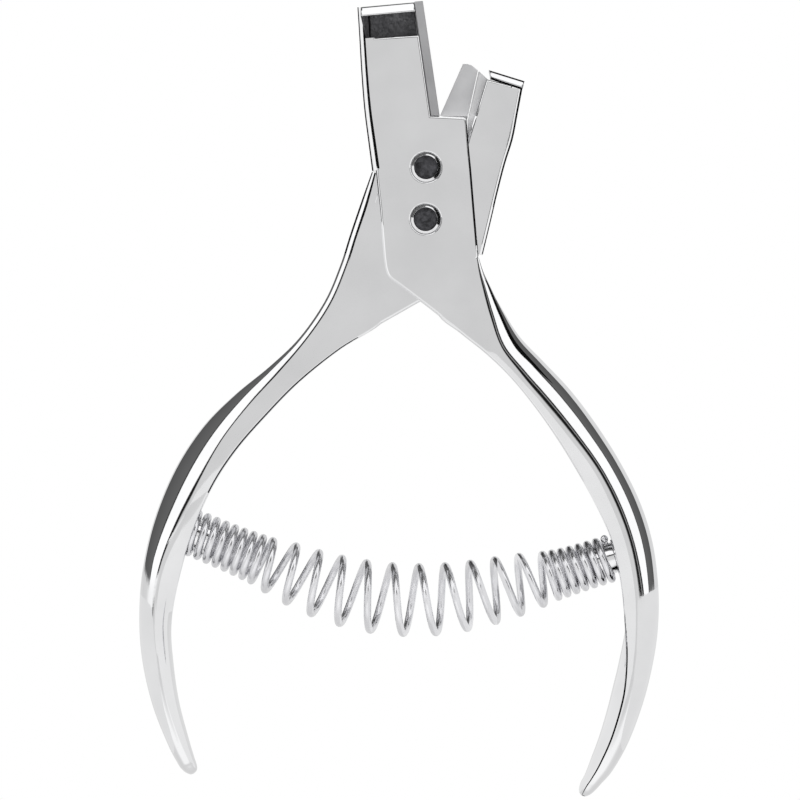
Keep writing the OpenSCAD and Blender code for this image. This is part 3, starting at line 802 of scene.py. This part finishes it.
def studio():
    """Surroundings that the plating mirrors: bright panels with dark gaps towards +Y."""
    world = bpy.data.worlds.new("studio")
    bpy.context.scene.world = world
    world.use_nodes = True
    tree = world.node_tree
    tree.nodes.clear()
    where = add(tree, "ShaderNodeTexCoord")
    parts = add(tree, "ShaderNodeSeparateXYZ")
    tree.links.new(where.outputs["Generated"], parts.inputs[0])
    height = add(tree, "ShaderNodeMapRange")
    height.inputs["From Min"].default_value = -1.0
    tree.links.new(parts.outputs["Z"], height.inputs[0])
    right = ramp(tree, height.outputs[0], [
        (0.0, 0.74), (0.23, 0.74), (0.255, 0.03), (0.285, 0.1), (0.62, 0.13), (0.645, 0.02),
        (0.657, 0.02), (0.67, 1.1), (0.9, 1.1), (0.907, 0.01), (0.925, 0.01), (0.931, 0.3),
        (0.938, 0.3), (0.944, 0.01), (0.972, 0.01), (0.982, 0.67)])
    left = ramp(tree, height.outputs[0], [
        (0.0, 0.74), (0.08, 0.74), (0.1, 0.02), (0.13, 0.1), (0.7, 0.13), (0.725, 0.02),
        (0.738, 0.02), (0.748, 1.1), (0.941, 1.1), (0.948, 0.01), (0.972, 0.01), (0.982, 0.67)])
    plain = ramp(tree, height.outputs[0], [
        (0.0, 0.74), (0.2, 0.7), (0.55, 0.74), (0.8, 1.0), (0.965, 1.0), (0.985, 0.84),
        (0.993, 0.69), (1.0, 0.67)])

    def mixed(factor, first, second):
        node = add(tree, "ShaderNodeMix", data_type="RGBA")
        tree.links.new(factor, node.inputs[0])
        tree.links.new(first, node.inputs[6])
        tree.links.new(second, node.inputs[7])
        return node.outputs[2]

    def step(value, low, high):
        node = add(tree, "ShaderNodeMapRange")
        node.inputs["From Min"].default_value = low
        node.inputs["From Max"].default_value = high
        tree.links.new(value, node.inputs[0])
        return node.outputs[0]

    def maths(operation, first, second):
        node = add(tree, "ShaderNodeMath", operation=operation)
        for socket, value in zip(node.inputs, (first, second)):
            if isinstance(value, float):
                socket.default_value = value
            else:
                tree.links.new(value, socket)
        return node.outputs[0]

    across = maths("ABSOLUTE", parts.outputs["X"], 0.0)
    lean = maths("DIVIDE", parts.outputs["Y"], maths("ADD", across, 0.12))
    ragged = maths("MULTIPLY", noise(tree, where.outputs["Generated"], 14.0, 5.0, 0.7), 0.09)
    edge = maths("ADD", lean, ragged)
    bands = mixed(step(parts.outputs["X"], -0.05, 0.05), left, right)
    limit = maths("SUBTRACT", edge, maths("MULTIPLY", step(parts.outputs["X"], 0.1, -0.1), 0.075))
    around = mixed(step(limit, 0.075, 0.11), plain, bands)
    ray = add(tree, "ShaderNodeLightPath")
    seen = add(tree, "ShaderNodeMix", data_type="RGBA")
    tree.links.new(ray.outputs["Is Camera Ray"], seen.inputs[0])
    tree.links.new(around, seen.inputs[6])
    seen.inputs[7].default_value = (1, 1, 1, 1)
    glow = add(tree, "ShaderNodeBackground")
    tree.links.new(seen.outputs[2], glow.inputs[0])
    out = add(tree, "ShaderNodeOutputWorld")
    tree.links.new(glow.outputs[0], out.inputs[0])


DARK = 0.005
# name, tone, start, end, bottom, top
CARDS = [
    ("dark_left_low", DARK, (-30, -2), (-30, 43), -200, 20),
    ("dark_left_high", DARK, (-30, -2), (-30, 43), 47, 102),
    ("dark_at_cheek", DARK, (11.5, -5), (18.5, 25), 14.8, 24),
    ("dark_right", DARK, (32, -1.5), (32, 45), 4, 36),
    ("dark_right_low", DARK, (32, -26), (32, -5), 13.6, 28),
    ("bright_right", 0.95, (33, -8), (33, 30), -60, 4),
    ("bright_between", 0.85, (14, -118), (14, -61), -60, 400),
    ("bright_left_grip", 0.8, (-76, -120), (-76, -72.5), -60, 400),
    ("bright_right_grip", 0.8, (67, -120), (67, -71), -60, 400),
    ("bright_above_left", 0.85, (-70, -57), (30, -57), 60, 900),
    ("dark_by_right_jaw", DARK, (12.1, -7), (19.85, 26), -10, 14.1),
    ("bright_throat", 1.1, (2.6, 20.2), (9.6, 20.2), 4, 15)]
LIGHTING_CARDS = {"bright_throat"}
TAPERED_CARDS = {"dark_right_low": 13.8}  # height of the top at the start


def card(name, tone, start, end, z0, z1):
    """An upright card between two places, seen only in the plating unless it also lights."""
    lights, start_top = name in LIGHTING_CARDS, TAPERED_CARDS.get(name, z1)
    mesh = bpy.data.meshes.new(name)
    corners = [(*start, z0), (*end, z0), (*end, z1), (*start, start_top)]
    mesh.from_pydata([tuple(c * MM for c in v) for v in corners], [], [(0, 1, 2, 3)])
    obj = bpy.data.objects.new(name, mesh)
    bpy.context.scene.collection.objects.link(obj)
    m = bpy.data.materials.new(name)
    m.use_nodes = True
    tree = m.node_tree
    tree.nodes.clear()
    glow = add(tree, "ShaderNodeEmission", Color=(tone, tone, tone, 1), Strength=1.0)
    out = add(tree, "ShaderNodeOutputMaterial")
    tree.links.new(glow.outputs[0], out.inputs[0])
    mesh.materials.append(m)
    for kind in ("camera", "diffuse", "transmission", "shadow", "volume_scatter"):
        setattr(obj, "visible_" + kind, lights and kind == "diffuse")


def camera():
    """Straight above the tool, from far away, with the jaws at the top of the picture."""
    view_width = 155.95
    aim = Vector((-4.97, -35.2, DEPTH - 4.0)) * MM
    data = bpy.data.cameras.new("camera")
    data.lens = 600
    data.clip_end = 50
    obj = bpy.data.objects.new("camera", data)
    obj.location = aim + Vector((0, 0, view_width * MM * data.lens / data.sensor_width))
    bpy.context.scene.collection.objects.link(obj)
    bpy.context.scene.camera = obj


floor()
studio()
for row in CARDS:
    card(*row)
camera()
settings = bpy.context.scene.view_settings
settings.view_transform = "Standard"
settings.look = "None"
